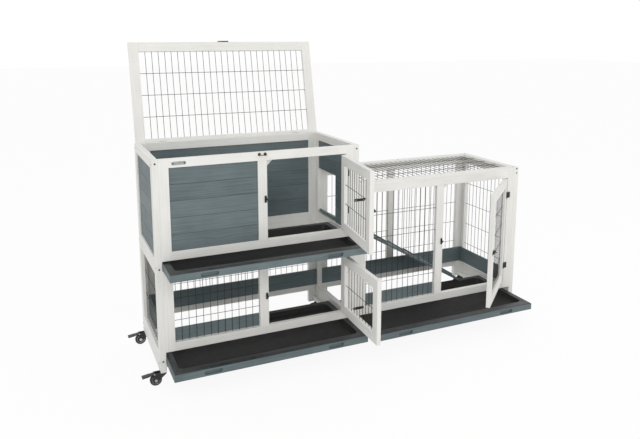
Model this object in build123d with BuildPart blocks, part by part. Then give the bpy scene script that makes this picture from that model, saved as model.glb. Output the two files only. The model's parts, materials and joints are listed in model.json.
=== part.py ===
import os
from math import cos, radians, sin, tan

from build123d import *

# A small animal enclosure: a two-storey hutch on the left and a wire run on the right.
# X runs from the hutch to the run, Y from the front to the back, Z up from the floor.
# It stands as photographed: lid up, doors open, trays pulled out.

# Overall sizes
hutch_width = 920.0
hutch_depth = 450.0
hutch_height = 965.0
run_length = 920.0
run_height = 786.0
caster_height = 60.0

# Painted timber sections
side_thickness = 25.0
front_thickness = 20.0
lid_thickness = 16.0
roof_thickness = 14.0
stile_width = 41.0
rail_width = 37.0
roof_rail_width = 41.0
side_mid_rail = 68.0

# Levels of the rails above the floor
front_low_rail_bottom = 146.0
lower_front_top = 500.0
lower_top_rail = 30.0
upper_front_bottom = 542.0
side_mid_rail_bottom = 482.0
back_rail_bottom = 124.0
kick_bottom = 155.0
kick_top = 238.0

# Infill: slate boards and welded wire
board_thickness = 10.0
board_width = 73.0
board_bevel = 2.0
board_gap = 0.2
tongue_thickness = 3.0
tongue_length = 4.0
tongue_clearance = 0.2
groove_depth = 8.0
groove_clearance = 0.1
edge_clearance = 1.0
kick_thickness = 8.0
seat_gap = 0.3
back_stile_shift = 24.0
wire = 2.0
wire_pitch = 30.0
wide_wire_pitch = 60.0
wire_row = 104.0
doorway_width = 195.0
doorway_top = 783.0

# Trays
tray_wood_height = 30.0
tray_level_low = 91.0
tray_level_up = 503.0
tray_side_gap = 1.5
tray_depth = 428.0
tray_board = 18.0
liner_wall = 2.0
liner_margin = 3.0
liner_rim = 28.0
liner_front_rim = 40.0
liner_floor = 4.0
liner_corner = 22.0
liner_taper = 6.0
upper_pull = 148.0
lower_pull = 158.0
run_pull = 176.0
grip_length = 74.0
grip_height = 17.0
grip_inset = 158.0
grip_pocket = 9.0
runner_width = 18.0
runner_height = 20.0

# Doors, their hinges and bolts
door_thickness = 19.0
door_stile = 41.0
door_gap = 3.0
upper_door_angle = 82.0
lower_door_angle = 88.0
run_door_angle = 42.0
hinge_inset = 88.0
leaf_height = 30.0
leaf_width = 15.0
leaf_thickness = 1.2
barrel_radius = 3.0
pin_radius = 1.4
pin_clearance = 0.06
knuckle_gap = 0.25
bolt_radius = 2.5
bolt_clearance = 0.08
bolt_length = 54.0
bolt_travel = 16.0
bolt_standoff = 5.2
latch_length = 36.0
latch_height = 22.0
latch_inset = 5.0
guide_length = 6.0
guide_size = 9.0
knob_radius = 2.6
knob_height = 7.0
keeper_width = 10.0
keeper_height = 30.0
keeper_inset = 8.0
keeper_clearance = 0.35
upper_latch_level = 759.0
lower_latch_level = 321.0
run_latch_level = 452.0
stop_leg = 34.0
stop_seat = 12.0
stop_thickness = 8.0

# Lid
lid_angle = 102.5
lid_front_overhang = 15.0
lid_gap = 0.3
lid_inset = 8.0
lid_rail = 44.0
lid_leaf_width = 11.0
lid_hinge_inset = 130.0
hasp_width = 50.0
hasp_length = 26.0
hasp_rise = 4.0
hasp_slot = 34.0
slot_height = 7.0
catch_drop = 10.0
catch_level = hutch_height - catch_drop
catch_spread = 26.0
catch_foot_radius = 7.0
staple_radius = 1.75
staple_reach = 21.0

# Ramp from the doorway down into the run
ramp_width = 188.0
ramp_thickness = 12.0
ramp_angle = 30.0
ramp_lap = 22.0
ramp_clearance = 1.5
cleat_pitch = 118.0
cleat_size = 8.0

# Plates that join the run to the hutch
plate_length = 56.0
plate_height = 12.0
plate_thickness = 2.0
plate_top_level = 709.0
plate_low_level = 185.0

# Casters
wheel_radius = 25.0
wheel_width = 16.0
wheel_trail = 31.0
wheel_clearance = 1.2
axle_radius = 3.0
axle_clearance = 0.08
arm_thickness = 3.0
arm_boss = 8.0
swivel_radius = 15.0
swivel_height = 8.0
swivel_gap = 0.3
swivel_pin_radius = 5.0
mount_plate = 2.5
stem_radius = 4.0
stem_clearance = 0.1
stem_length = 32.0
pedal_reach = 88.0
pedal_level = 53.5
pedal_setback = 6.0
pedal_boss = 3.3
pedal_tip_radius = 2.0
pedal_drop = 7.5
pedal_pad = 28.0
pedal_width = 26.0
pedal_pin_radius = 2.0

# The hinge pins of the doors lie a barrel's radius in front of the faces they join.
half_gap = door_gap / 2
bay_width = (hutch_width - 2 * side_thickness - 3 * stile_width) / 2
run_frame_width = run_length - side_thickness
run_bay_width = (run_frame_width - 3 * stile_width) / 2
door_width = bay_width - 2 * door_gap
run_door_width = run_bay_width - 2 * door_gap

# The open lid leans on its own tail, which meets the back rail at the lid's angle.
lid_reach = hutch_depth + barrel_radius + lid_front_overhang
lid_lean = radians(lid_angle - 90)
lid_tail = (barrel_radius * cos(lid_lean) + barrel_radius - lid_gap) / sin(lid_lean)

# The middle of the bounding box, measured from the hutch's left face and front plane
left_reach = pedal_reach - side_thickness / 2
front_reach = barrel_radius + (half_gap + door_width) * sin(radians(lower_door_angle))
front_reach -= barrel_radius * cos(radians(lower_door_angle))
back_reach = hutch_depth + barrel_radius + (lid_reach + 2 * barrel_radius) * sin(lid_lean)
back_reach += (barrel_radius + hasp_rise + hasp_length) * cos(lid_lean)
right_reach = hutch_width + run_length + swivel_radius - side_thickness / 2
left_x = (left_reach - right_reach) / 2
front_y = (front_reach - back_reach) / 2

# Faces that many pieces share
left_inner = left_x + side_thickness
right_outer = left_x + hutch_width
right_inner = right_outer - side_thickness
run_end = right_outer + run_length
run_inner = run_end - side_thickness
back_y = front_y + hutch_depth
inner_front = front_y + front_thickness
inner_back = back_y - front_thickness
wall_top = run_height - roof_thickness
upper_sill = upper_front_bottom + rail_width
lower_sill = front_low_rail_bottom + rail_width
lower_head = lower_front_top - lower_top_rail
upper_head = hutch_height - rail_width
side_sill = side_mid_rail_bottom + side_mid_rail
back_sill = back_rail_bottom + rail_width
run_head = wall_top - rail_width
left_bay = (left_inner + stile_width, left_inner + stile_width + bay_width)
right_bay = (left_bay[1] + stile_width, left_bay[1] + stile_width + bay_width)
run_left_bay = (right_outer + stile_width, right_outer + stile_width + run_bay_width)
run_right_bay = (run_left_bay[1] + stile_width, run_left_bay[1] + stile_width + run_bay_width)
side_window = (front_y + stile_width, back_y - stile_width)
back_window = (left_inner + stile_width, right_inner - stile_width)

os.makedirs("parts", exist_ok=True)
all_boxes = []


def save(piece, name):
    """Labels a finished piece and writes it as a STEP file."""
    piece.part.label = name
    export_step(piece.part, f"parts/{name}.step")
    all_boxes.append(piece.part.bounding_box())


def area(u_low, u_high, v_low, v_high, mode=Mode.ADD):
    """A rectangle in the open sketch, given by its edges."""
    with Locations(((u_low + u_high) / 2, (v_low + v_high) / 2)):
        Rectangle(u_high - u_low, v_high - v_low, mode=mode)


def block(x_low, x_high, y_low, y_high, z_low, z_high, mode=Mode.ADD):
    """A box in the open part, given by its faces."""
    with Locations(((x_low + x_high) / 2, (y_low + y_high) / 2, (z_low + z_high) / 2)):
        Box(x_high - x_low, y_high - y_low, z_high - z_low, mode=mode)


def wall_plane(y):
    """A plane across the front or back: sketch x is X, sketch y is Z, extrudes towards the front."""
    return Plane.XZ.offset(-y)


def side_plane(x):
    """A plane across a side wall: sketch x is Y, sketch y is Z, extrudes towards +X."""
    return Plane.YZ.offset(x)


def framed_wall(plane, outline, windows, grooves, thickness, stems=()):
    """A glued frame: windows, a groove round each filled one, and bores for the caster stems."""
    with BuildPart() as frame:
        with BuildSketch(plane):
            area(*outline)
            for window in windows:
                area(*window, mode=Mode.SUBTRACT)
        extrude(amount=thickness)
        for window, infill in grooves:
            groove = infill + 2 * groove_clearance
            u_low, u_high, v_low, v_high = window
            with BuildSketch(plane.offset((thickness - groove) / 2)):
                area(u_low - groove_depth, u_high + groove_depth, v_low - groove_depth, v_high + groove_depth)
            extrude(amount=groove, mode=Mode.SUBTRACT)
        if stems:
            with BuildSketch(Plane.XY.offset(caster_height)):
                with Locations(*stems):
                    Circle(stem_radius + stem_clearance)
            extrude(amount=stem_length + 2, mode=Mode.SUBTRACT)
    return frame


def stem_places(wall_low):
    """Where the caster stems enter the two stiles of a side panel: front, then back."""
    stem_x = wall_low + side_thickness / 2
    return [(stem_x, front_y + stile_width / 2), (stem_x, back_y - stile_width / 2)]


def net_outline(window, pitch):
    """Welded wire in one window, drawn in the open sketch, its border hidden in the groove."""
    u_low, u_high, v_low, v_high = window
    lap = groove_depth - edge_clearance
    columns = max(round((u_high - u_low) / pitch), 1)
    rows = max(round((v_high - v_low) / wire_row), 1)
    column = (u_high - u_low) / columns
    row = (v_high - v_low) / rows
    area(u_low - lap, u_high + lap, v_low - lap, v_high + lap)
    with Locations(((u_low + u_high) / 2, (v_low + v_high) / 2)):
        with GridLocations(column, row, columns, rows):
            Rectangle(column - wire, row - wire, mode=Mode.SUBTRACT)


def board_outline(low, high, has_groove, has_tongue):
    """The section of one board in the open sketch: bevelled joints, groove at its foot, tongue on top."""
    half = board_thickness / 2
    side = half - board_bevel
    tongue = tongue_thickness / 2
    groove = tongue + tongue_clearance / 2
    groove_end = low + tongue_length + tongue_clearance
    points = [(low, half), (low, -half)]
    if has_groove:
        points = [(low + board_bevel, half), (low, side), (low, groove), (groove_end, groove)]
        points += [(groove_end, -groove), (low, -groove), (low, -side), (low + board_bevel, -half)]
    if has_tongue:
        points += [(high - board_bevel, -half), (high, -side), (high, -tongue)]
        points += [(high + tongue_length, -tongue), (high + tongue_length, tongue)]
        points += [(high, tongue), (high, side), (high - board_bevel, half)]
    else:
        points += [(high, -half), (high, half)]
    Polygon(*points, align=None)


def board_wall(wall, window):
    """Level tongue-and-groove boards that fill a window from its foot, the top one ripped to fit."""
    u_low, u_high, v_low, v_high = window
    lap = groove_depth - edge_clearance
    count = max(round((v_high - v_low) / board_width), 1)
    end = Plane(wall.from_local_coords(Vector(u_low - lap, 0, 0)), x_dir=wall.y_dir, z_dir=wall.x_dir)
    for index in range(count):
        first, last = index == 0, index == count - 1
        board_low = v_low - lap if first else v_low + index * board_width
        board_high = v_high + lap if last else v_low + (index + 1) * board_width - board_gap
        with BuildSketch(end) as section:
            board_outline(board_low, board_high, not first, not last)
        extrude(section.sketch, amount=u_high - u_low + 2 * lap)


# Side panels of the hutch: boards above, wire below on the left, a way through on the right

lower_side_window = (*side_window, front_low_rail_bottom, side_mid_rail_bottom)
upper_side_window = (*side_window, side_sill, upper_head)
side_outline = (front_y, back_y, caster_height, hutch_height)

left_panel_frame = framed_wall(
    side_plane(left_x), side_outline, [lower_side_window, upper_side_window],
    [(lower_side_window, wire), (upper_side_window, board_thickness)], side_thickness,
    stem_places(left_x))
save(left_panel_frame, "left_panel_frame")

right_panel_frame = framed_wall(
    side_plane(right_inner), side_outline, [lower_side_window, upper_side_window],
    [(upper_side_window, board_thickness)], side_thickness, stem_places(right_inner))
save(right_panel_frame, "right_panel_frame")

with BuildPart() as left_boards:
    board_wall(side_plane(left_x + side_thickness / 2), upper_side_window)
save(left_boards, "left_boards")

# The doorway into the ramp is cut through the rear boards of the right panel.
doorway_front = side_window[1] - doorway_width
with BuildPart() as right_boards:
    board_wall(side_plane(right_inner + side_thickness / 2), upper_side_window)
    block(right_inner, right_outer, doorway_front, back_y, side_mid_rail_bottom, doorway_top,
          mode=Mode.SUBTRACT)
save(right_boards, "right_boards")

# Back panel of the hutch: boards above, wire below, open under its bottom rail

upper_back_window = (*back_window, side_sill, upper_head)
lower_back_window = (*back_window, back_sill, side_mid_rail_bottom)
under_back_rail = (*back_window, caster_height, back_rail_bottom)

back_panel_frame = framed_wall(
    wall_plane(back_y), (left_inner, right_inner, caster_height, hutch_height),
    [upper_back_window, lower_back_window, under_back_rail],
    [(lower_back_window, wire), (upper_back_window, board_thickness)], front_thickness)
save(back_panel_frame, "back_panel_frame")

with BuildPart() as back_boards:
    board_wall(wall_plane(back_y - front_thickness / 2), upper_back_window)
save(back_boards, "back_boards")

# Front frames of the hutch: the upper tray slides out between them

upper_left_window = (*left_bay, upper_sill, upper_head)
upper_door_opening = (*right_bay, upper_sill, upper_head)
lower_left_window = (*left_bay, lower_sill, lower_head)
lower_door_opening = (*right_bay, lower_sill, lower_head)

upper_front_frame = framed_wall(
    wall_plane(inner_front), (left_inner, right_inner, upper_front_bottom, hutch_height),
    [upper_left_window, upper_door_opening], [(upper_left_window, board_thickness)], front_thickness)
save(upper_front_frame, "upper_front_frame")

lower_front_frame = framed_wall(
    wall_plane(inner_front), (left_inner, right_inner, front_low_rail_bottom, lower_front_top),
    [lower_left_window, lower_door_opening], [(lower_left_window, wire)], front_thickness)
save(lower_front_frame, "lower_front_frame")

with BuildPart() as front_boards:
    board_wall(wall_plane(front_y + front_thickness / 2), upper_left_window)
save(front_boards, "front_boards")

# Welded nets of the hutch, each one sheet in the grooves of its frame

with BuildPart() as hutch_mesh:
    with BuildSketch(side_plane(left_x + (side_thickness - wire) / 2)):
        net_outline(lower_side_window, wire_pitch)
    extrude(amount=wire)
    with BuildSketch(wall_plane(front_y + (front_thickness + wire) / 2)):
        net_outline(lower_left_window, wire_pitch)
    extrude(amount=wire)
    with BuildSketch(wall_plane(back_y - (front_thickness - wire) / 2)):
        net_outline(lower_back_window, wide_wire_pitch)
    extrude(amount=wire)
save(hutch_mesh, "hutch_mesh")

# The run: a front, a back, a right end and a roof, closed on its left by the hutch

run_left_window = (*run_left_bay, lower_sill, run_head)
run_door_opening = (*run_right_bay, lower_sill, run_head)
run_back_stile = run_left_bay[1] - back_stile_shift
run_back_windows = [
    (right_outer + stile_width, run_back_stile, back_sill, run_head),
    (run_back_stile + stile_width, run_inner - stile_width, back_sill, run_head)]
under_run_back = (right_outer + stile_width, run_inner - stile_width, caster_height, back_rail_bottom)
run_end_window = (*side_window, front_low_rail_bottom, run_head)
roof_window = (right_outer + roof_rail_width, run_end - roof_rail_width,
               front_y + roof_rail_width, back_y - roof_rail_width)

run_front_frame = framed_wall(
    wall_plane(inner_front), (right_outer, run_inner, front_low_rail_bottom, wall_top),
    [run_left_window, run_door_opening], [(run_left_window, wire)], front_thickness)
save(run_front_frame, "run_front_frame")

run_back_frame = framed_wall(
    wall_plane(back_y), (right_outer, run_inner, caster_height, wall_top),
    run_back_windows + [under_run_back], [(window, wire) for window in run_back_windows],
    front_thickness)
save(run_back_frame, "run_back_frame")

run_right_frame = framed_wall(
    side_plane(run_inner), (front_y, back_y, caster_height, wall_top),
    [run_end_window], [(run_end_window, wire)], side_thickness, stem_places(run_inner))
save(run_right_frame, "run_right_frame")

run_roof_frame = framed_wall(
    Plane.XY.offset(wall_top), (right_outer, run_end, front_y, back_y),
    [roof_window], [(roof_window, wire)], roof_thickness)
save(run_roof_frame, "run_roof_frame")

with BuildPart() as run_mesh:
    with BuildSketch(wall_plane(front_y + (front_thickness + wire) / 2)):
        net_outline(run_left_window, wire_pitch)
    extrude(amount=wire)
    for back_net in run_back_windows:
        with BuildSketch(wall_plane(back_y - (front_thickness - wire) / 2)):
            net_outline(back_net, wide_wire_pitch)
        extrude(amount=wire)
    with BuildSketch(side_plane(run_inner + (side_thickness - wire) / 2)):
        net_outline(run_end_window, wide_wire_pitch)
    extrude(amount=wire)
    with BuildSketch(Plane.XY.offset(wall_top + (roof_thickness - wire) / 2)):
        net_outline(roof_window, wide_wire_pitch)
    extrude(amount=wire)
save(run_mesh, "run_mesh")

# Kick boards hold the bedding in behind the foot of every wired bay.

kick = kick_thickness
with BuildPart() as kick_boards:
    block(left_inner, left_inner + kick, inner_front, inner_back, kick_bottom, kick_top)
    block(left_inner + kick + board_gap, left_bay[1] + stile_width / 2, inner_front, inner_front + kick,
          kick_bottom, kick_top)
    block(left_inner + kick + board_gap, right_inner, inner_back - kick, inner_back,
          kick_bottom, kick_top)
    block(right_outer, run_left_bay[1] + stile_width / 2, inner_front, inner_front + kick,
          kick_bottom, kick_top)
    block(right_outer, run_inner - kick - board_gap, inner_back - kick, inner_back, kick_bottom, kick_top)
    block(run_inner - kick, run_inner, inner_front, inner_back, kick_bottom, kick_top)
save(kick_boards, "kick_boards")

# Battens that the trays ride on

runner_ends = (inner_front, inner_back - 1)
with BuildPart() as tray_runners:
    for wall_low, level in (
            (left_inner, tray_level_low), (right_inner - runner_width, tray_level_low),
            (left_inner, tray_level_up), (right_inner - runner_width, tray_level_up),
            (right_outer, tray_level_low), (run_inner - runner_width, tray_level_low)):
        runner_top = level - seat_gap
        block(wall_low, wall_low + runner_width, *runner_ends, runner_top - runner_height, runner_top)
save(tray_runners, "tray_runners")

# Triangles behind the top corners of the door openings, that the doors close against

with BuildPart() as door_corner_stops:
    for opening in (upper_door_opening, lower_door_opening, run_door_opening):
        corner_x, corner_z = opening[0] - stop_seat, opening[3] + stop_seat
        leg = stop_leg + 2 * stop_seat
        with BuildSketch(wall_plane(inner_front + stop_thickness)):
            Polygon((corner_x, corner_z), (corner_x, corner_z - leg), (corner_x + leg, corner_z),
                    align=None)
        extrude(amount=stop_thickness)
save(door_corner_stops, "door_corner_stops")

# Plates that screw the run to the hutch, front and back

with BuildPart() as connecting_plates:
    plate_low = right_inner + 2
    for level in (plate_low_level, plate_top_level):
        for face in (front_y - plate_thickness, back_y):
            block(plate_low, plate_low + plate_length, face, face + plate_thickness,
                  level - plate_height / 2, level + plate_height / 2)
    chamfer(connecting_plates.edges().filter_by(Axis.Y), 4)
save(connecting_plates, "connecting_plates")


def hinge_leaf(pivot, width, knuckles, is_bored, length=leaf_height):
    """One leaf, in the open part: the pin is the pivot plane's Z, and the leaf reaches out along X."""
    leaf_start = barrel_radius + knuckle_gap
    low_face = barrel_radius - leaf_thickness
    with BuildSketch(pivot.offset(-length / 2)) as plate:
        area(leaf_start, leaf_start + width, low_face, barrel_radius)
    extrude(plate.sketch, amount=length)
    for low, high in knuckles:
        with BuildSketch(pivot.offset(low)) as knuckle:
            Circle(barrel_radius)
            area(0, leaf_start + 1, low_face, barrel_radius)
            if is_bored:
                Circle(pin_radius + pin_clearance, mode=Mode.SUBTRACT)
        extrude(knuckle.sketch, amount=high - low)
    if not is_bored:
        with BuildSketch(pivot.offset(-length / 2)) as pin:
            Circle(pin_radius)
        extrude(pin.sketch, amount=length)


def middle_knuckle(length=leaf_height):
    """The span of the middle third of a barrel."""
    return [(-length / 6, length / 6)]


def outer_knuckles(length=leaf_height):
    """The spans of the outer thirds of a barrel, clear of the middle one."""
    inner = length / 6 + knuckle_gap
    return [(-length / 2, -inner), (inner, length / 2)]


# Doors: each turns on a pin in front of the stile at its right edge

door_back = front_y - barrel_radius
hutch_pivot_x = right_bay[1] - half_gap
run_pivot_x = run_right_bay[1] - half_gap


def door_plane(pivot_x, angle):
    """An open door's plane: X from the pin to the latch, Y up, Z towards the inside."""
    turn = radians(angle)
    return Plane((pivot_x, door_back, 0), x_dir=(-cos(turn), -sin(turn), 0), z_dir=(-sin(turn), cos(turn), 0))


def door_hinges(opening):
    """The levels of a door's two hinges."""
    return (opening[2] + hinge_inset, opening[3] - hinge_inset)


def build_door(name, plane, opening, width, latch_level):
    """A wire door with its hinge leaves, bolt guides and bolt, all set out from its own plane."""
    low, high = opening[2] + door_gap, opening[3] - door_gap
    left, right = half_gap, half_gap + width
    window = (left + door_stile, right - door_stile, low + door_stile, high - door_stile)
    face = plane.offset(barrel_radius)

    frame = framed_wall(face, (left, right, low, high), [window], [(window, wire)], door_thickness)
    save(frame, f"{name}_door_frame")

    with BuildPart() as mesh:
        with BuildSketch(face.offset((door_thickness - wire) / 2)):
            net_outline(window, wire_pitch)
        extrude(amount=wire)
    save(mesh, f"{name}_door_mesh")

    latch_low = right - latch_inset - latch_length
    latch_high = right - latch_inset
    rod_depth = barrel_radius - bolt_standoff
    rod_start = right - seat_gap - bolt_length
    rod_plane = Plane(plane.from_local_coords(Vector(0, latch_level, rod_depth)),
                      x_dir=plane.y_dir, z_dir=plane.x_dir)
    guide_depth = bolt_standoff + guide_size / 2
    with BuildPart() as fittings:
        for level in door_hinges(opening):
            pin = Plane(plane.from_local_coords(Vector(0, level, 0)), x_dir=plane.x_dir, z_dir=(0, 0, -1))
            hinge_leaf(pin, leaf_width, outer_knuckles(), True)
        with BuildSketch(face.offset(-leaf_thickness)):
            area(latch_low, latch_high, latch_level - latch_height / 2, latch_level + latch_height / 2)
        extrude(amount=leaf_thickness)
        for guide_low in (latch_low, latch_high - guide_length):
            with BuildSketch(face.offset(-guide_depth)):
                area(guide_low, guide_low + guide_length,
                     latch_level - guide_size / 2, latch_level + guide_size / 2)
            extrude(amount=guide_depth)
        with BuildSketch(rod_plane.offset(latch_low - 1)):
            Circle(bolt_radius + bolt_clearance)
        extrude(amount=latch_length + 2, mode=Mode.SUBTRACT)
    save(fittings, f"{name}_door_fittings")

    # The knob starts against the guide farther from the stile, with the bolt drawn back.
    knob_at = latch_low + guide_length + knob_radius + 1
    with BuildPart() as bolt:
        with BuildSketch(rod_plane.offset(rod_start)):
            Circle(bolt_radius)
        extrude(amount=bolt_length)
        with BuildSketch(plane.offset(rod_depth - bolt_radius - knob_height)):
            with Locations((knob_at, latch_level)):
                Circle(knob_radius)
        extrude(amount=bolt_radius + knob_height)
    save(bolt, f"{name}_door_bolt")


upper_door_plane = door_plane(hutch_pivot_x, upper_door_angle)
lower_door_plane = door_plane(hutch_pivot_x, lower_door_angle)
run_door_plane = door_plane(run_pivot_x, run_door_angle)
build_door("upper", upper_door_plane, upper_door_opening, door_width, upper_latch_level)
build_door("lower", lower_door_plane, lower_door_opening, door_width, lower_latch_level)
build_door("run", run_door_plane, run_door_opening, run_door_width, run_latch_level)

# Keepers on the middle stiles take the bolts of the closed doors.

with BuildPart() as latch_keepers:
    loop_depth = bolt_standoff + guide_size / 2
    for opening, level in ((upper_door_opening, upper_latch_level),
                           (lower_door_opening, lower_latch_level),
                           (run_door_opening, run_latch_level)):
        keeper_x = opening[0] - keeper_inset
        keeper_low, keeper_high = keeper_x - keeper_width / 2, keeper_x + keeper_width / 2
        block(keeper_low, keeper_high, front_y - leaf_thickness, front_y,
              level - keeper_height / 2, level + keeper_height / 2)
        block(keeper_low, keeper_high, front_y - loop_depth, front_y,
              level - guide_size / 2, level + guide_size / 2)
        with BuildSketch(Plane(origin=(keeper_low - 1, front_y - bolt_standoff, level),
                               x_dir=(0, 1, 0), z_dir=(1, 0, 0))):
            Circle(bolt_radius + keeper_clearance)
        extrude(amount=keeper_width + 2, mode=Mode.SUBTRACT)
save(latch_keepers, "latch_keepers")

# Lid: a wire frame on a pin behind the back rail, with a tail that stops it when it stands open

pin_y = back_y + barrel_radius
pin_z = hutch_height + lid_gap - barrel_radius
lean_sin, lean_cos = sin(lid_lean), cos(lid_lean)
lid_up = Vector(0, lean_sin, lean_cos)
lid_back = Vector(0, lean_cos, -lean_sin)
lid_plane = Plane((0, pin_y, pin_z), x_dir=(1, 0, 0), z_dir=-lid_back)
lid_left, lid_right = left_x + lid_inset, right_outer - lid_inset
lid_far = barrel_radius + lid_thickness
lid_window = (lid_left + lid_rail, lid_right - lid_rail, lid_rail - lid_tail, lid_reach - lid_rail)
lid_middle = left_x + hutch_width / 2

lid_frame = framed_wall(
    lid_plane.offset(-lid_far), (lid_left, lid_right, -lid_tail, lid_reach),
    [lid_window], [(lid_window, wire)], lid_thickness)
save(lid_frame, "lid_frame")

with BuildPart() as lid_mesh:
    with BuildSketch(lid_plane.offset(-lid_far + (lid_thickness - wire) / 2)):
        net_outline(lid_window, wire_pitch)
    extrude(amount=wire)
save(lid_mesh, "lid_mesh")

lid_hinge_places = (left_x + lid_hinge_inset, right_outer - lid_hinge_inset)
hasp_v, hasp_w = lid_reach + barrel_radius, barrel_radius + hasp_rise
hasp_pin = Vector(lid_middle, pin_y, pin_z) + lid_up * hasp_v + lid_back * hasp_w

with BuildPart() as lid_fittings:
    for place in lid_hinge_places:
        hinge_leaf(Plane((place, pin_y, pin_z), x_dir=-lid_up, z_dir=(1, 0, 0)),
                   lid_leaf_width, outer_knuckles(), True)
    hinge_leaf(Plane(hasp_pin, x_dir=lid_back, z_dir=(-1, 0, 0)),
               lid_thickness - hasp_rise - barrel_radius - 1, middle_knuckle(hasp_width), False,
               hasp_width)
save(lid_fittings, "lid_fittings")

# The hasp is folded back over the lid's edge. Its slot drops over the staple when all is closed.
hasp_plane = Plane(hasp_pin, x_dir=lid_back, z_dir=(1, 0, 0))
slot_centre = pin_z + hasp_w - catch_level
with BuildPart() as lid_hasp:
    hinge_leaf(hasp_plane, hasp_length - barrel_radius - knuckle_gap, outer_knuckles(hasp_width), True,
               hasp_width)
    with BuildSketch(Plane(hasp_pin, x_dir=(1, 0, 0), z_dir=lid_up)):
        with Locations((0, slot_centre)):
            Rectangle(hasp_slot, slot_height)
    extrude(amount=2 * barrel_radius, both=True, mode=Mode.SUBTRACT)
save(lid_hasp, "lid_hasp")

# Staple on the top rail, with a round foot under each leg
with BuildPart() as lid_catch:
    catch_face = wall_plane(front_y)
    feet = [(lid_middle - catch_spread / 2, catch_level), (lid_middle + catch_spread / 2, catch_level)]
    with BuildSketch(catch_face):
        with Locations(*feet):
            Circle(catch_foot_radius)
    extrude(amount=leaf_thickness)
    with BuildSketch(catch_face):
        with Locations(*feet):
            Circle(staple_radius)
    extrude(amount=staple_reach)
    with BuildSketch(Plane.YZ.offset(lid_middle - catch_spread / 2)):
        with Locations((front_y - staple_reach, catch_level)):
            Circle(staple_radius)
    extrude(amount=catch_spread)
save(lid_catch, "lid_catch")

# Hinge leaves and pins that stay on the stiles and on the back rail

with BuildPart() as fixed_hinge_leaves:
    for pivot_x, opening in ((hutch_pivot_x, upper_door_opening), (hutch_pivot_x, lower_door_opening),
                             (run_pivot_x, run_door_opening)):
        for level in door_hinges(opening):
            hinge_leaf(Plane((pivot_x, door_back, level), x_dir=(1, 0, 0), z_dir=(0, 0, 1)),
                       leaf_width, middle_knuckle(), False)
    for place in lid_hinge_places:
        hinge_leaf(Plane((place, pin_y, pin_z), x_dir=(0, 0, -1), z_dir=(-1, 0, 0)),
                   leaf_width, middle_knuckle(), False)
save(fixed_hinge_leaves, "fixed_hinge_leaves")


def build_tray(name, wall_low, wall_high, level, pull):
    """A wooden tray and its drop-in liner, pulled out by the given distance."""
    low, high = wall_low + tray_side_gap, wall_high - tray_side_gap
    front = front_y - pull
    back = front + tray_depth
    wood_top = level + tray_wood_height
    with BuildPart() as frame:
        with BuildSketch(Plane.XY.offset(level)):
            area(low, high, front, back)
            area(low + tray_board, high - tray_board, front + tray_board, back - tray_board,
                 mode=Mode.SUBTRACT)
        extrude(amount=tray_wood_height)
        with BuildSketch(wall_plane(front + grip_pocket)):
            with Locations((low + grip_inset, level + tray_wood_height / 2),
                           (high - grip_inset, level + tray_wood_height / 2)):
                SlotOverall(grip_length, grip_height)
        extrude(amount=grip_pocket, mode=Mode.SUBTRACT)
    save(frame, f"{name}_tray_frame")

    basin = (low + liner_rim, high - liner_rim, front + liner_front_rim, back - liner_rim)
    centre = ((basin[0] + basin[1]) / 2, (basin[2] + basin[3]) / 2)
    width, depth = basin[1] - basin[0], basin[3] - basin[2]
    foot = level + liner_floor
    flange_top = wood_top + liner_wall
    with BuildPart() as liner:
        with BuildSketch(Plane.XY.offset(wood_top)):
            area(low + liner_margin, high - liner_margin, front + liner_margin, back - liner_margin)
        extrude(amount=liner_wall)
        for wall, bottom, mode in ((liner_wall, foot, Mode.ADD), (0, foot + liner_wall, Mode.SUBTRACT)):
            with BuildSketch(Plane.XY.offset(flange_top)):
                with Locations(centre):
                    RectangleRounded(width + 2 * wall, depth + 2 * wall, liner_corner + wall)
            with BuildSketch(Plane.XY.offset(bottom)):
                with Locations(centre):
                    RectangleRounded(width + 2 * wall - 2 * liner_taper,
                                     depth + 2 * wall - 2 * liner_taper, liner_corner + wall)
            loft(mode=mode)
    save(liner, f"{name}_tray_liner")


build_tray("upper", left_inner, right_inner, tray_level_up, upper_pull)
build_tray("lower", left_inner, right_inner, tray_level_low, lower_pull)
build_tray("run", right_outer, run_inner, tray_level_low, run_pull)

# Ramp: one plank with a batten that hooks it on the doorway's sill and cleats to climb by

slope = radians(ramp_angle)
sill_z = side_sill + seat_gap
tray_top = tray_level_low + tray_wood_height + liner_wall
ramp_run = (sill_z - tray_top - ramp_clearance) / sin(slope)
ramp_y = side_window[1] - doorway_width / 2
ramp_plane = Plane((right_outer, ramp_y, sill_z), x_dir=(cos(slope), 0, -sin(slope)),
                   z_dir=(sin(slope), 0, cos(slope)))
hook_low, hook_high = right_outer + seat_gap, right_outer + seat_gap + cleat_size * 2
with BuildPart() as ramp:
    with BuildSketch(ramp_plane):
        area(-ramp_lap, ramp_run, -ramp_width / 2, ramp_width / 2)
    extrude(amount=ramp_thickness)
    cleat_count = int(ramp_run / cleat_pitch)
    with BuildSketch(ramp_plane.offset(ramp_thickness)):
        for index in range(cleat_count):
            with Locations((cleat_pitch * (index + 0.7), 0)):
                Rectangle(cleat_size, ramp_width - 2 * cleat_size)
    extrude(amount=cleat_size)
    with BuildSketch(Plane.XZ.offset(-(ramp_y + ramp_width / 2))):
        Polygon((hook_low, sill_z - (hook_low - right_outer) * tan(slope)),
                (hook_high, sill_z - (hook_high - right_outer) * tan(slope)),
                (hook_high, sill_z - 3 * cleat_size), (hook_low, sill_z - 3 * cleat_size), align=None)
    extrude(amount=ramp_width)
save(ramp, "ramp")

# Casters: a plate with its stem and kingpin on the stile, a fork that swivels on it, and a wheel

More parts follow.
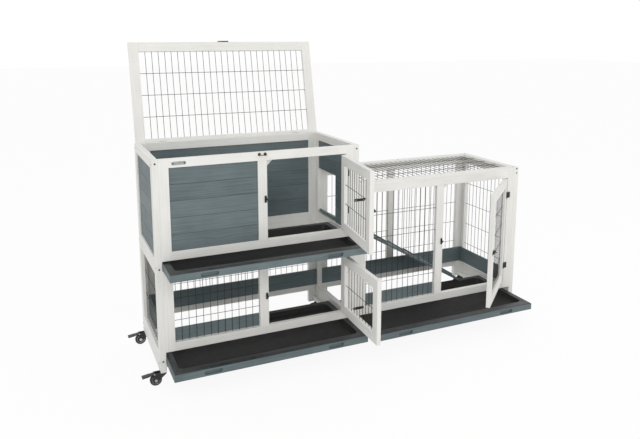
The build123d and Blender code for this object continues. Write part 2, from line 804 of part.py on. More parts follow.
caster_spots = {}
for spot_side, wall_low in (("left", left_x), ("middle", right_inner), ("right", run_inner)):
    caster_spots["front_" + spot_side], caster_spots["back_" + spot_side] = stem_places(wall_low)
braked_casters = ("front_left", "back_left")
fork_top = caster_height - mount_plate - swivel_gap
fork_low = fork_top - swivel_height
fork_inside = wheel_width / 2 + wheel_clearance
fork_outside = fork_inside + arm_thickness

with BuildPart() as caster_plates:
    for spot_x, spot_y in caster_spots.values():
        block(spot_x - side_thickness / 2, spot_x + side_thickness / 2,
              spot_y - stile_width / 2, spot_y + stile_width / 2, caster_height - mount_plate, caster_height)
        for radius, low, high in (
                (stem_radius, caster_height, caster_height + stem_length),
                (swivel_pin_radius, fork_low - swivel_gap - 1.5, caster_height),
                (swivel_pin_radius + 2, fork_low - swivel_gap - 1.5, fork_low - swivel_gap)):
            with BuildSketch(Plane.XY.offset(low)):
                with Locations((spot_x, spot_y)):
                    Circle(radius)
            extrude(amount=high - low)
save(caster_plates, "caster_plates")


def build_caster(name, spot_x, spot_y, is_braked):
    """One caster below its stile, trailing to the left, with a brake pedal where it has one."""
    axle = (spot_x - wheel_trail, wheel_radius)
    pedal_pin = (axle[0] - pedal_setback, pedal_level)
    with BuildPart() as fork:
        with BuildSketch(Plane.XY.offset(fork_low)):
            with Locations((spot_x, spot_y)):
                Circle(swivel_radius)
        extrude(amount=swivel_height)
        for arm_back in (spot_y + fork_outside, spot_y - fork_inside):
            with BuildSketch(wall_plane(arm_back)):
                with Locations(axle):
                    Circle(arm_boss)
                area(spot_x - 12, spot_x + 12, fork_low, fork_top)
                if is_braked:
                    with Locations(pedal_pin):
                        Circle(fork_top - pedal_level)
                make_hull()
            extrude(amount=arm_thickness)
        with BuildSketch(Plane.XY.offset(fork_low - 10)):
            with Locations((spot_x, spot_y)):
                Circle(swivel_pin_radius + axle_clearance)
        extrude(amount=swivel_height + 20, mode=Mode.SUBTRACT)
        pins = [(axle, axle_radius, fork_outside + 1.5)]
        if is_braked:
            pins.append((pedal_pin, pedal_pin_radius, fork_outside))
        for centre, radius, reach in pins:
            with BuildSketch(wall_plane(spot_y + reach)):
                with Locations(centre):
                    Circle(radius)
            extrude(amount=2 * reach)
    save(fork, f"{name}_caster_fork")

    with BuildPart() as wheel:
        with BuildSketch(wall_plane(spot_y + wheel_width / 2)):
            with Locations(axle):
                Circle(wheel_radius)
        extrude(amount=wheel_width)
        chamfer(wheel.edges(), 2.5)
        for side in (spot_y + wheel_width / 2, spot_y - wheel_width / 2 + 3):
            with BuildSketch(wall_plane(side)):
                with Locations(axle):
                    Circle(wheel_radius * 0.72)
                    Circle(wheel_radius * 0.34, mode=Mode.SUBTRACT)
            extrude(amount=3, mode=Mode.SUBTRACT)
        with BuildSketch(wall_plane(spot_y + wheel_width / 2)):
            with Locations(axle):
                Circle(axle_radius + axle_clearance)
        extrude(amount=wheel_width, mode=Mode.SUBTRACT)
    save(wheel, f"{name}_caster_wheel")

    if is_braked:
        tip = (spot_x - pedal_reach + pedal_tip_radius, pedal_level - pedal_drop)
        arm_width = fork_inside - 0.4
        with BuildPart() as pedal:
            for half, first in ((arm_width, pedal_pin), (pedal_width / 2, (tip[0] + pedal_pad, tip[1] + 4))):
                with BuildSketch(wall_plane(spot_y + half)):
                    with Locations(first):
                        Circle(pedal_boss if half == arm_width else pedal_tip_radius)
                    with Locations(tip):
                        Circle(pedal_tip_radius)
                    make_hull()
                extrude(amount=2 * half)
            with BuildSketch(wall_plane(spot_y + arm_width)):
                with Locations(pedal_pin):
                    Circle(pedal_pin_radius + axle_clearance)
            extrude(amount=2 * arm_width, mode=Mode.SUBTRACT)
        save(pedal, f"{name}_brake_pedal")


for spot_name, spot in caster_spots.items():
    build_caster(spot_name, *spot, spot_name in braked_casters)

low_corner = [min(getattr(box.min, axis) for box in all_boxes) for axis in "XYZ"]
high_corner = [max(getattr(box.max, axis) for box in all_boxes) for axis in "XYZ"]
print("pieces", len(all_boxes))
print("low corner", [round(value, 3) for value in low_corner])
print("high corner", [round(value, 3) for value in high_corner])
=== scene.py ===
import json
import math

import bmesh
import bpy
from mathutils import Matrix, Vector


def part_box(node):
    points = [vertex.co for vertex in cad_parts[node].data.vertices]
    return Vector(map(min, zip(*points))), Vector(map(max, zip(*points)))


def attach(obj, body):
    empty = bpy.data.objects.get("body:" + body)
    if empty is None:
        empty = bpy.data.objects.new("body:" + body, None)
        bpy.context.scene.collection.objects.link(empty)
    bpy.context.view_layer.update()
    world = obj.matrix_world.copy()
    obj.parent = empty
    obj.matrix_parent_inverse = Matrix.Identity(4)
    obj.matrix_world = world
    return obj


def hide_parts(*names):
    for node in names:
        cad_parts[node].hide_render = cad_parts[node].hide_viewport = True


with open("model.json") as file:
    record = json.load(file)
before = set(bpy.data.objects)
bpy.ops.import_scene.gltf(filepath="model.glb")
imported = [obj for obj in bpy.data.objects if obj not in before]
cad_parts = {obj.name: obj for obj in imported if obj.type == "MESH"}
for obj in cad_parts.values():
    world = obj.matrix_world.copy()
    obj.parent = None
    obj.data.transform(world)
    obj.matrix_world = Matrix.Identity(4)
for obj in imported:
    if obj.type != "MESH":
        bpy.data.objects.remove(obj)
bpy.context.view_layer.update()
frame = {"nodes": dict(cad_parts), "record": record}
cadNodes = frame["nodes"]
print("frame loaded")

# Lengths are in millimetres from the hutch's left face, front plane and the floor.
millimetre = 0.001
hutch = {"width": 920, "depth": 450, "height": 965, "side": 25, "front": 20, "foot": 60}
run = {"end": 1840, "top": 772, "roof": 14}
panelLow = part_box("left_panel_frame")[0]
corner = Vector((panelLow[0], panelLow[1], 0))
middleX = hutch["width"] / 2
runWall = run["end"] - hutch["side"]
right, up = Vector((1, 0, 0)), Vector((0, 0, 1))
inward = Vector((0, 1, 0))
nothing = Matrix.Identity(4)


def placed(origin, uAxis, vAxis):
    # a piece is modelled flat in millimetres and this puts it in its plane
    turn = Matrix((uAxis, vAxis, uAxis.cross(vAxis))).transposed().to_4x4()
    place = Matrix.Translation(corner + Vector(origin) * millimetre)
    return place @ turn @ Matrix.Scale(millimetre, 4)


world = placed((0, 0, 0), right, inward)
frontPlane = placed((0, 0, 0), right, up)  # depth runs towards the viewer
backPlane = placed((0, hutch["depth"], 0), right, up)
leftPlane = placed((0, 0, 0), inward, up)  # depth runs to the right
rightPlane = placed((hutch["width"] - hutch["side"], 0, 0), inward, up)
endPlane = placed((runWall, 0, 0), inward, up)
roofPlane = placed((0, 0, run["top"]), right, inward)

# The lid leans back on a pin behind the hutch
lid = {"lean": 12.5, "pinBehind": 3, "pinLevel": 962.3, "under": 3, "thick": 16, "seat": 0.3,
       "left": 8, "right": 912, "reach": 468, "member": 44, "rows": 4}
lean = math.radians(lid["lean"])
lidPlane = placed((0, hutch["depth"] + lid["pinBehind"], lid["pinLevel"]), right,
                  Vector((0, math.sin(lean), math.cos(lean))))
lidFoot = -(lid["under"] * math.cos(lean) + lid["pinBehind"] - lid["seat"]) / math.sin(lean)

# A door's u runs from its pin to its free edge, at the angle that it stands open
doorForm = {"pinOut": 3, "hingeGap": 1.5, "near": 3, "thick": 19, "member": 41}
doors = {
    "upper": {"pin": 852.5, "angle": 82, "width": 367.5, "low": 582, "high": 925, "rows": 3, "latch": 759},
    "lower": {"pin": 852.5, "angle": 88, "width": 367.5, "low": 186, "high": 467, "rows": 2, "latch": 321},
    "run": {"pin": 1772.5, "angle": 42, "width": 380, "low": 186, "high": 732, "rows": 5, "latch": 452},
}
for door in doors.values():
    turn = math.radians(door["angle"])
    outward = Vector((-math.cos(turn), -math.sin(turn), 0))
    pin = (door["pin"], -doorForm["pinOut"], 0)
    door["plane"] = placed(pin, outward, up)
    door["edgePlane"] = placed(pin, up, outward.cross(up))  # its depth runs out from the pin
    door["edge"] = doorForm["hingeGap"] + door["width"]


# Materials

def linear(hexColour):
    # sRGB hex to the linear values that the shader takes
    channels = [int(hexColour[i:i + 2], 16) / 255 for i in (0, 2, 4)]
    return (*[c / 12.92 if c <= 0.04045 else ((c + 0.055) / 1.055) ** 2.4 for c in channels], 1)


def addNode(tree, kind, values=None, links=None, **settings):
    node = tree.nodes.new(kind)
    for name, value in settings.items():
        setattr(node, name, value)
    for socket, value in (values or {}).items():
        node.inputs[socket].default_value = value
    for socket, source in (links or {}).items():
        tree.links.new(source, node.inputs[socket])
    return node


def newMaterial(name, **shaderValues):
    material = bpy.data.materials.new(name)
    material.use_nodes = True
    tree = material.node_tree
    shader = tree.nodes["Principled BSDF"]
    for socket, value in shaderValues.items():
        shader.inputs[socket.replace("_", " ")].default_value = value
    return material, tree, shader


def addRamp(tree, source, low, high, lowColour, highColour, middleColour=None):
    ramp = addNode(tree, "ShaderNodeValToRGB", links={"Fac": source})
    stops = ramp.color_ramp.elements
    stops[0].position, stops[0].color = low, lowColour
    stops[1].position, stops[1].color = high, highColour
    if middleColour:
        stops.new((low + high) / 2).color = middleColour
    return ramp.outputs["Color"]


def stretched(tree, vector, scale):
    # the same pattern with this many cells per metre along and across the grain
    mapping = addNode(tree, "ShaderNodeMapping", {"Scale": (*scale, 1)}, {"Vector": vector})
    return mapping.outputs["Vector"]


def paintedPine(name, deepHex, baseHex, paleHex, grainBump, roughness, knotDepth, heartDepth):
    # planed pine under a thin brushed coat: the grain telegraphs through as long faint streaks,
    # bends round the knots, and each board differs a little in tone
    material, tree, shader = newMaterial(name)
    grainMap = addNode(tree, "ShaderNodeUVMap", uv_map="grain").outputs["UV"]
    # about one knot in every 290 by 110 mm of board, with its heart 20 mm long
    knots = addNode(tree, "ShaderNodeTexVoronoi", {"Scale": 1, "Randomness": 1},
                    {"Vector": stretched(tree, grainMap, (3.4, 9))})
    knotFade = addNode(tree, "ShaderNodeMapRange",
                       {"From Min": 0, "From Max": 0.3, "To Min": 1, "To Max": 0},
                       {"Value": knots.outputs["Distance"]}, interpolation_type="SMOOTHERSTEP")
    apart = addNode(tree, "ShaderNodeSeparateXYZ", links={"Vector": grainMap})
    bent = addNode(tree, "ShaderNodeMath", {1: knotDepth},
                   {0: knotFade.outputs["Result"], 2: apart.outputs["Y"]}, operation="MULTIPLY_ADD")
    warped = addNode(tree, "ShaderNodeCombineXYZ",
                     links={"X": apart.outputs["X"], "Y": bent.outputs["Value"]})
    # growth rings 4 to 6 mm apart that run about 250 mm before they fade
    rings = addNode(tree, "ShaderNodeTexNoise", {"Scale": 1, "Detail": 5, "Roughness": 0.62},
                    {"Vector": stretched(tree, warped.outputs["Vector"], (4, 190))})
    # brush drag about 1 mm wide
    brush = addNode(tree, "ShaderNodeTexNoise", {"Scale": 1, "Detail": 3, "Roughness": 0.7},
                    {"Vector": stretched(tree, grainMap, (14, 900))})
    blotch = addNode(tree, "ShaderNodeTexNoise", {"Scale": 9, "Detail": 2}, {"Vector": grainMap})
    row = addNode(tree, "ShaderNodeMath", links={0: apart.outputs["Y"]}, operation="FLOOR")
    tone = addNode(tree, "ShaderNodeTexWhiteNoise", links={"W": row.outputs["Value"]}, noise_dimensions="1D")
    # the tone is mostly rings, then slow blotches, then a shift from board to board
    mixed = addNode(tree, "ShaderNodeMath", {1: 0.62}, {0: rings.outputs["Fac"]}, operation="MULTIPLY")
    for share, source in ((0.26, blotch.outputs["Fac"]), (0.12, tone.outputs["Value"])):
        mixed = addNode(tree, "ShaderNodeMath", {1: share}, {0: source, 2: mixed.outputs["Value"]},
                        operation="MULTIPLY_ADD")
    colour = addRamp(tree, mixed.outputs["Value"], 0.34, 0.66, linear(deepHex), linear(paleHex),
                     linear(baseHex))
    heart = addNode(tree, "ShaderNodeMapRange",
                    {"From Min": 0.03, "From Max": 0.075, "To Min": heartDepth, "To Max": 0},
                    {"Value": knots.outputs["Distance"]})
    knotted = addNode(tree, "ShaderNodeMix", {"B": linear(deepHex)},
                      {"A": colour, "Factor": heart.outputs["Result"]}, data_type="RGBA")
    tree.links.new(knotted.outputs["Result"], shader.inputs["Base Color"])
    sheen = addNode(tree, "ShaderNodeMapRange", {"To Min": roughness - 0.08, "To Max": roughness + 0.1},
                    {"Value": brush.outputs["Fac"]})
    tree.links.new(sheen.outputs["Result"], shader.inputs["Roughness"])
    relief = addNode(tree, "ShaderNodeBump", {"Strength": grainBump, "Distance": 0.0006},
                     {"Height": rings.outputs["Fac"]})
    relief = addNode(tree, "ShaderNodeBump", {"Strength": grainBump * 0.6, "Distance": 0.0003},
                     {"Height": brush.outputs["Fac"], "Normal": relief.outputs["Normal"]})
    tree.links.new(relief.outputs["Normal"], shader.inputs["Normal"])
    return material


def speckled(name, deepHex, paleHex, scale, bump, rough, **shaderValues):
    # a two-tone skin with a fine surface, at the given number of grains per metre
    material, tree, shader = newMaterial(name, **shaderValues)
    point = addNode(tree, "ShaderNodeTexCoord").outputs["Object"]
    fine = addNode(tree, "ShaderNodeTexNoise", {"Scale": scale, "Detail": 3, "Roughness": 0.65},
                   {"Vector": point})
    broad = addNode(tree, "ShaderNodeTexNoise", {"Scale": scale / 40, "Detail": 4, "Roughness": 0.6},
                    {"Vector": point})
    colour = addRamp(tree, broad.outputs["Fac"], 0.35, 0.65, linear(deepHex), linear(paleHex))
    tree.links.new(colour, shader.inputs["Base Color"])
    gloss = addNode(tree, "ShaderNodeMapRange",
                    {"From Min": 0.3, "From Max": 0.7, "To Min": rough[0], "To Max": rough[1]},
                    {"Value": broad.outputs["Fac"]})
    tree.links.new(gloss.outputs["Result"], shader.inputs["Roughness"])
    relief = addNode(tree, "ShaderNodeBump", {"Strength": bump, "Distance": 0.0004},
                     {"Height": fine.outputs["Fac"]})
    tree.links.new(relief.outputs["Normal"], shader.inputs["Normal"])
    return material


materials = {
    # waterborne white over pine: slightly warm, with faint grey streaks
    "white_wood": paintedPine("white_painted_pine", "DDDCD7", "E6E5E1", "ECEBE8", grainBump=0.16,
                              roughness=0.5, knotDepth=0.008, heartDepth=0.3),
    # thin slate stain-paint over pine: darker and paler streaks show
    "slate_wood": paintedPine("slate_painted_pine", "505C5F", "606D70", "6D7A7C", grainBump=0.4,
                              roughness=0.52, knotDepth=0.012, heartDepth=0.5),
    # drawn steel wire, welded and then dipped black
    "welded_wire": speckled("black_dipped_wire", "15150F", "2B2A24", 900, 0.3, (0.5, 0.65)),
    # vacuum-formed polystyrene sheet: a soft sheen on the flat flange
    "black_plastic": speckled("black_formed_plastic", "232526", "3A3D3E", 1400, 0.3, (0.38, 0.55)),
    # pressed steel under black paint
    "black_steel": speckled("black_painted_steel", "1D1D1D", "343432", 1500, 0.25, (0.35, 0.5), Metallic=0.4),
    # zinc alloy with an antique brass wash
    "aged_brass": speckled("antique_brass_plate", "3A3224", "7C6A45", 800, 0.3, (0.3, 0.5),
                           Metallic=0.85),
    # moulded polyurethane wheel
    "rubber": speckled("black_moulded_wheel", "151516", "2B2B2B", 1200, 0.3, (0.45, 0.65)),
    # bright zinc plate
    "zinc_steel": speckled("zinc_plated_steel", "8F9193", "C6C8CA", 700, 0.15, (0.25, 0.4),
                           Metallic=1.0),
}
# the stretched basin of the same sheet: thinner and matt, with a darker colour that is painted shade in the
# basin
basinShadeMaterial = speckled("black_plastic_basin_painted_shade", "0E0E0E", "1D1C1B", 1400, 0.3, (0.6, 0.75))
print("materials made")


# Shared modelling steps

rowSeed = [0]


def newMesh():
    mesh = bmesh.new()
    mesh.loops.layers.uv.new("grain")
    return mesh


def addBlock(mesh, centre, size):
    place = Matrix.Translation(centre) @ Matrix.Diagonal((*size, 1))
    return bmesh.ops.create_cube(mesh, size=1, matrix=place)["verts"]


def roundEdges(mesh, edges, radius, segments):
    bmesh.ops.bevel(mesh, geom=list(edges), offset=radius, segments=segments, profile=0.5,
                    affect="EDGES", material=-1)


def addBoard(mesh, low, high, along=0, soften=1.0):
    # one planed board with eased edges; its grain runs along the axis with that number
    low, high = Vector(low), Vector(high)
    before = set(mesh.faces)
    verts = addBlock(mesh, (low + high) / 2, high - low)
    roundEdges(mesh, {edge for vert in verts for edge in vert.link_edges}, soften, 2)
    markGrain(mesh, [face for face in mesh.faces if face not in before], along, (low + high) / 2)


def markGrain(mesh, faces, along, centre):
    # each board gets its own row of the grain pattern, a whole number apart
    layer = mesh.loops.layers.uv["grain"]
    across = [axis for axis in range(3) if axis != along]
    rowSeed[0] += 1
    for face in faces:
        for loop in face.loops:
            spot = (loop.vert.co - centre) * millimetre
            side = spot[across[0]] + spot[across[1]]
            loop[layer].uv = (spot[along] + rowSeed[0] * 0.37, rowSeed[0] + 0.5 + side)


def addRod(mesh, start, end, radius):
    start, end = Vector(start), Vector(end)
    turn = up.rotation_difference(end - start).to_matrix().to_4x4()
    bmesh.ops.create_cone(mesh, cap_ends=True, segments=8, radius1=radius, radius2=radius,
                          depth=(end - start).length,
                          matrix=Matrix.Translation((start + end) / 2) @ turn)


def finishPiece(name, mesh, plane, slotName, body, replaced=(), smooth=False, material=None):
    bmesh.ops.transform(mesh, matrix=plane, verts=mesh.verts)
    data = bpy.data.meshes.new(name)
    mesh.to_mesh(data)
    mesh.free()
    if smooth:
        data.shade_smooth()
    piece = bpy.data.objects.new(name, data)
    bpy.context.scene.collection.objects.link(piece)
    data.materials.append(material or materials[slotName])
    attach(piece, body)
    if replaced:
        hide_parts(*replaced)
    return piece


# Timber frames

timber = {"ease": 0.9}


def addFrame(node, plane, body, depth, outline, stiles, rails, middles=()):
    # stiles run the full height, rails sit between them, middle posts between two rails
    mesh = newMesh()
    uLow, uHigh, vLow, vHigh = outline
    near, far = depth
    for low, high in stiles:
        addBoard(mesh, (low, vLow, near), (high, vHigh, far), 1, timber["ease"])
    for low, high in rails:
        addBoard(mesh, (stiles[0][1], low, near), (stiles[-1][0], high, far), 0, timber["ease"])
    for low, high, foot, top in middles:
        addBoard(mesh, (low, foot, near), (high, top, far), 1, timber["ease"])
    finishPiece(node.replace("_frame", "_timber"), mesh, plane, "white_wood", body, [node])


# where the shell's stiles, rails and posts lie, each as (low, high)
sideStiles = [(0, 41), (409, 450)]
hutchStiles = [(25, 66), (854, 895)]
runStiles = [(920, 961), (1774, 1815)]
panelRails = [(hutch["foot"], 146), (482, 550), (928, hutch["height"])]
frontRail, runTopRail = (146, 183), (735, run["top"])
hutchPost, runFrontPost, runBackPost = (439.5, 480.5), (1347, 1388), (1323, 1364)
sideDepth, frontDepth, backDepth = (0, hutch["side"]), (-hutch["front"], 0), (0, hutch["front"])
for node, plane in (("left_panel_frame", leftPlane), ("right_panel_frame", rightPlane)):
    addFrame(node, plane, "enclosure", sideDepth, (0, hutch["depth"], hutch["foot"], hutch["height"]),
             sideStiles, panelRails)
addFrame("back_panel_frame", backPlane, "enclosure", backDepth,
         (25, 895, hutch["foot"], hutch["height"]), hutchStiles, [(124, 161), *panelRails[1:]])
addFrame("upper_front_frame", frontPlane, "enclosure", frontDepth, (25, 895, 542, hutch["height"]),
         hutchStiles, [(542, 579), panelRails[-1]], [(*hutchPost, 579, 928)])
addFrame("lower_front_frame", frontPlane, "enclosure", frontDepth, (25, 895, 146, 500),
         hutchStiles, [frontRail, (470, 500)], [(*hutchPost, 183, 470)])
addFrame("run_front_frame", frontPlane, "enclosure", frontDepth, (920, runWall, 146, run["top"]),
         runStiles, [frontRail, runTopRail], [(*runFrontPost, 183, 735)])
addFrame("run_back_frame", backPlane, "enclosure", backDepth, (920, runWall, hutch["foot"], run["top"]),
         runStiles, [(124, 161), runTopRail], [(*runBackPost, 161, 735)])
addFrame("run_right_frame", endPlane, "enclosure", sideDepth,
         (0, hutch["depth"], hutch["foot"], run["top"]), sideStiles, [panelRails[0], runTopRail])
addFrame("run_roof_frame", roofPlane, "enclosure", (0, run["roof"]), (920, run["end"], 0, hutch["depth"]),
         [(920, 961), (1799, run["end"])], sideStiles)
lidWindow = (lid["left"] + lid["member"], lid["right"] - lid["member"],
             lidFoot + lid["member"], lid["reach"] - lid["member"])
addFrame("lid_frame", lidPlane, "lid", (-lid["under"] - lid["thick"], -lid["under"]),
         (lid["left"], lid["right"], lidFoot, lid["reach"]),
         [(lid["left"], lidWindow[0]), (lidWindow[1], lid["right"])],
         [(lidFoot, lidWindow[2]), (lidWindow[3], lid["reach"])])
for name, door in doors.items():
    first, last, member = doorForm["hingeGap"], door["edge"], doorForm["member"]
    low, high, near = door["low"], door["high"], doorForm["near"]
    door["window"] = (first + member, last - member, low + member, high - member)
    addFrame(f"{name}_door_frame", door["plane"], f"{name}_door", (near, near + doorForm["thick"]),
             (first, last, low, high), [(first, first + member), (last - member, last)],
             [(low, low + member), (high - member, high)])
print("timber frames made")


# Slate boards

boards = {"courses": 5, "gap": 0.2, "thick": 10, "lap": 7, "ease": 2.2, "doorway": (214, 783)}


def addBoards(node, plane, window, middle, doorway=None):
    mesh = newMesh()
    uLow, uHigh, vLow, vHigh = window
    count = boards["courses"]
    width = (vHigh - vLow) / count
    near, far = middle - boards["thick"] / 2, middle + boards["thick"] / 2
    for index in range(count):
        foot = vLow + index * width
        top = vHigh + boards["lap"] if index == count - 1 else foot + width - boards["gap"]
        foot = foot - boards["lap"] if index == 0 else foot
        ends = (uLow - boards["lap"], uHigh + boards["lap"])
        if doorway and foot < doorway[1]:
            addBoard(mesh, (ends[0], foot, near), (doorway[0], top, far), 0, boards["ease"])
            foot = max(foot, doorway[1])
            if top > foot:
                addBoard(mesh, (doorway[0], foot, near), (ends[1], top, far), 0, boards["ease"])
        else:
            addBoard(mesh, (ends[0], foot, near), (ends[1], top, far), 0, boards["ease"])
    finishPiece(node + "_planks", mesh, plane, "slate_wood", "enclosure", [node])


addBoards("left_boards", leftPlane, (41, 409, 550, 928), 12.5)
addBoards("right_boards", rightPlane, (41, 409, 550, 928), 12.5, boards["doorway"])
addBoards("back_boards", backPlane, (66, 854, 550, 928), 10)
addBoards("front_boards", frontPlane, (66, 439.5, 579, 928), -10)

# kick boards stand inside the frames, with a hair's gap where two of them meet
kick = {"thick": 8, "gap": 0.2, "low": 155, "high": 238}
mesh = newMesh()
near, far, thick = hutch["front"], hutch["depth"] - hutch["front"], kick["thick"]
first = hutch["side"] + thick + kick["gap"]
for xLow, xHigh, yLow, yHigh in (
        (hutch["side"], hutch["side"] + thick, near, far),
        (first, middleX, near, near + thick), (first, 895, far - thick, far),
        (hutch["width"], sum(runFrontPost) / 2, near, near + thick),
        (hutch["width"], runWall - thick - kick["gap"], far - thick, far),
        (runWall - thick, runWall, near, far)):
    addBoard(mesh, (xLow, yLow, kick["low"]), (xHigh, yHigh, kick["high"]), 0 if xHigh - xLow > 20 else 1)
finishPiece("kick_planks", mesh, world, "slate_wood", "enclosure", ["kick_boards"])

batten = {"wide": 18, "tall": 20, "back": 429}
mesh = newMesh()
for xLow, xHigh, top in ((25, 895, 90.7), (25, 895, 502.7), (920, runWall, 90.7)):
    for edge in (xLow, xHigh - batten["wide"]):
        addBoard(mesh, (edge, near, top - batten["tall"]), (edge + batten["wide"], batten["back"], top), 1)
finishPiece("tray_battens", mesh, world, "white_wood", "enclosure", ["tray_runners"])
print("boards made")


# Welded wire nets: a layer of upright wires with the cross wires welded over them

net = {"wire": 1.15, "weld": 1.7, "pitch": 30, "row": 104, "lap": 7}


def addNet(mesh, plane, window, middle, rows=None):
    uLow, uHigh, vLow, vHigh = window
    start = len(mesh.verts)
    columns = round((uHigh - uLow) / net["pitch"])
    rows = rows or round((vHigh - vLow) / net["row"])
    lap, wire = net["lap"], net["wire"]
    for index in range(columns + 1):
        u = uLow + index * (uHigh - uLow) / columns
        if index in (0, columns):  # the edge wires lie in the grooves
            u += -lap + wire if index == 0 else lap - wire
        addRod(mesh, (u, vLow - lap, middle), (u, vHigh + lap, middle), wire)
    for index in range(rows + 1):
        v = vLow + index * (vHigh - vLow) / rows
        if index in (0, rows):
            v += -lap + wire if index == 0 else lap - wire
        over = middle + net["weld"] * wire
        addRod(mesh, (uLow - lap, v, over), (uHigh + lap, v, over), wire)
    mesh.verts.ensure_lookup_table()
    bmesh.ops.transform(mesh, matrix=plane, verts=mesh.verts[start:])


mesh = newMesh()
addNet(mesh, leftPlane, (41, 409, 146, 482), 12.5)
addNet(mesh, frontPlane, (66, 439.5, 183, 470), -10)
addNet(mesh, backPlane, (66, 854, 161, 482), 10)
finishPiece("hutch_nets", mesh, nothing, "welded_wire", "enclosure", ["hutch_mesh"], True)
mesh = newMesh()
addNet(mesh, frontPlane, (961, 1347, 183, 735), -10, 5)
addNet(mesh, backPlane, (961, 1323, 161, 735), 10, 5)
addNet(mesh, backPlane, (1364, 1774, 161, 735), 10, 5)
addNet(mesh, endPlane, (41, 409, 146, 735), 12.5, 5)
addNet(mesh, roofPlane, (961, 1799, 41, 409), 7, 4)
finishPiece("run_nets", mesh, nothing, "welded_wire", "enclosure", ["run_mesh"], True)
mesh = newMesh()
addNet(mesh, lidPlane, lidWindow, -lid["under"] - lid["thick"] / 2, lid["rows"])
finishPiece("lid_net", mesh, nothing, "welded_wire", "lid", ["lid_mesh"], True)
for name, door in doors.items():
    mesh = newMesh()
    addNet(mesh, door["plane"], door["window"], doorForm["near"] + doorForm["thick"] / 2, door["rows"])
    finishPiece(f"{name}_door_net", mesh, nothing, "welded_wire", f"{name}_door",
                [f"{name}_door_mesh"], True)
print("nets made")


# Trays: a slate front board with two finger grips, slate sides and a formed liner

trays = {
    "upper": {"low": 26.5, "high": 893.5, "level": 503, "pull": 148},
    "lower": {"low": 26.5, "high": 893.5, "level": 91, "pull": 158},
    "run": {"low": 921.5, "high": 1813.5, "level": 91, "pull": 176},
}
trayForm = {"depth": 428, "board": 18, "height": 30, "rim": 28, "frontRim": 40, "margin": 3, "floor": 6,
            "radius": 22, "foot": 5, "taper": 6, "sheet": 2, "grip": (74, 17, 9), "gripInset": 158}


def cutGrip(board, x, front, z):
    length, height, depth = trayForm["grip"]
    cutter = bmesh.new()
    addBlock(cutter, (x, front, z), (length, 2 * depth, height))
    ends = [edge for edge in cutter.edges if abs((edge.verts[0].co - edge.verts[1].co).y) > depth]
    roundEdges(cutter, ends, height * 0.49, 6)
    bmesh.ops.transform(cutter, matrix=world, verts=cutter.verts)
    data = bpy.data.meshes.new("gripCutter")
    cutter.to_mesh(data)
    cutter.free()
    tool = bpy.data.objects.new("gripCutter", data)
    bpy.context.scene.collection.objects.link(tool)
    cut = board.modifiers.new("grip", "BOOLEAN")
    cut.operation, cut.solver, cut.object = "DIFFERENCE", "EXACT", tool
    return tool


def applyModifiers(piece):
    graph = bpy.context.evaluated_depsgraph_get()
    done = bpy.data.meshes.new_from_object(piece.evaluated_get(graph))
    piece.modifiers.clear()
    piece.data = done


